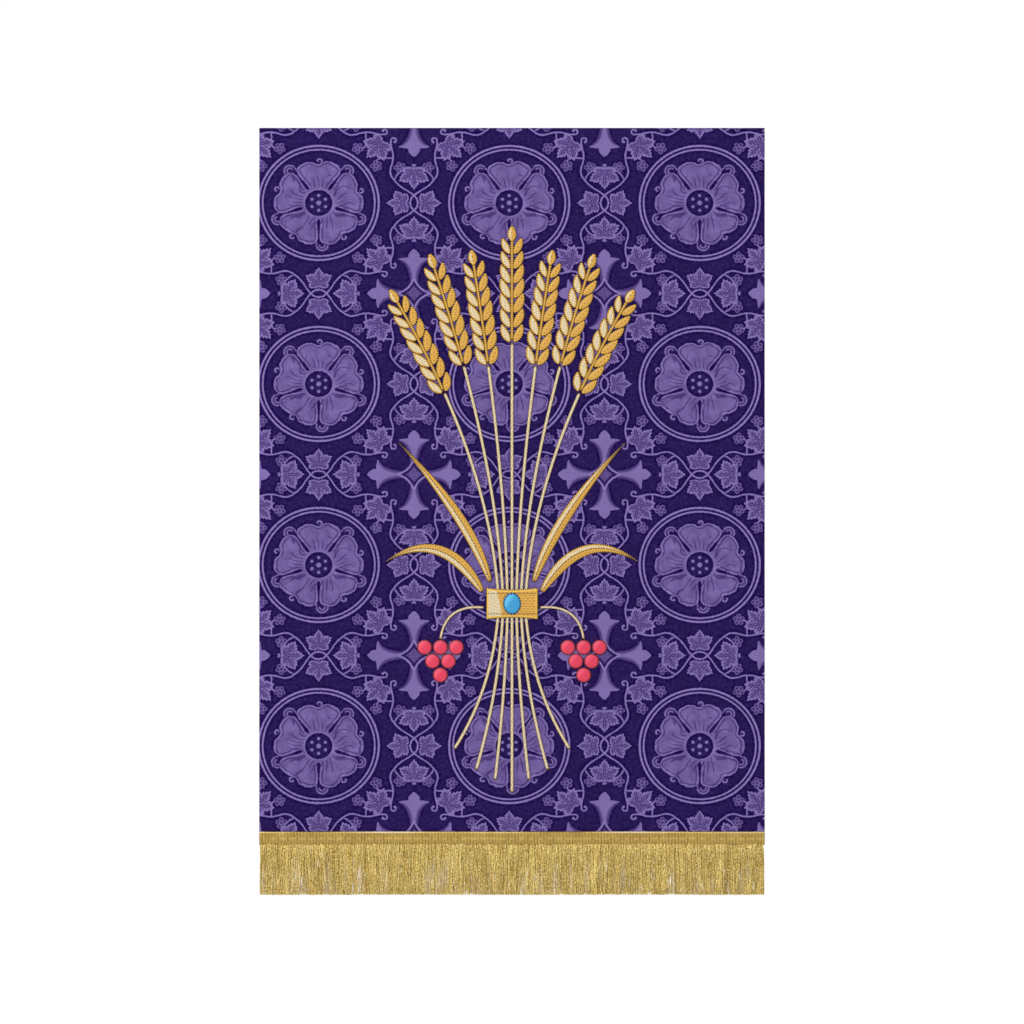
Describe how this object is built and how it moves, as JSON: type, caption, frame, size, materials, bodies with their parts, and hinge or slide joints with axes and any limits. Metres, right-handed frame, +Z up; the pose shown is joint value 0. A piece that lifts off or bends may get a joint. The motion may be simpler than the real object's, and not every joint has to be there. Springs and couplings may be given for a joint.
{
  "type": "pulpit fall",
  "caption": "Hanging of purple figured brocade with an embroidered sheaf of wheat and grapes on its face and a gold fringe along its hem, held by its top edge.",
  "frame": {"origin": "middle of the top edge, at half the cloth's thickness", "axes": "+Z up, +X to the right of someone facing the fall, +Y to the back; the face looks along -Y"},
  "size_m": [0.508, 0.0118, 0.771],
  "materials": {
    "brocade": "satin figure on a dull purple ground",
    "fringe_gold": "metallic gold thread",
    "gold_thread": "glossy gold embroidery thread",
    "cream_thread": "glossy cream embroidery thread",
    "red_thread": "glossy red embroidery thread",
    "blue_thread": "glossy light blue embroidery thread"
  },
  "bodies": {
    "root": {"brocade_panel": "brocade", "gold_fringe": "fringe_gold", "tie_band": "gold_thread", "blue_stone": "blue_thread", "stem_middle": "cream_thread", "ear_middle": "gold_thread", "stem_left_1": "cream_thread", "ear_left_1": "gold_thread", "stem_left_2": "cream_thread", "ear_left_2": "gold_thread", "stem_left_3": "cream_thread", "ear_left_3": "gold_thread", "leaf_left_1": "gold_thread", "leaf_left_2": "gold_thread", "bunch_stalk_left": "cream_thread", "grape_left_1": "red_thread", "grape_left_2": "red_thread", "grape_left_3": "red_thread", "grape_left_4": "red_thread", "grape_left_5": "red_thread", "grape_left_6": "red_thread", "stem_right_1": "cream_thread", "ear_right_1": "gold_thread", "stem_right_2": "cream_thread", "ear_right_2": "gold_thread", "stem_right_3": "cream_thread", "ear_right_3": "gold_thread", "leaf_right_1": "gold_thread", "leaf_right_2": "gold_thread", "bunch_stalk_right": "cream_thread", "grape_right_1": "red_thread", "grape_right_2": "red_thread", "grape_right_3": "red_thread", "grape_right_4": "red_thread", "grape_right_5": "red_thread", "grape_right_6": "red_thread"}
  },
  "joints": []
}
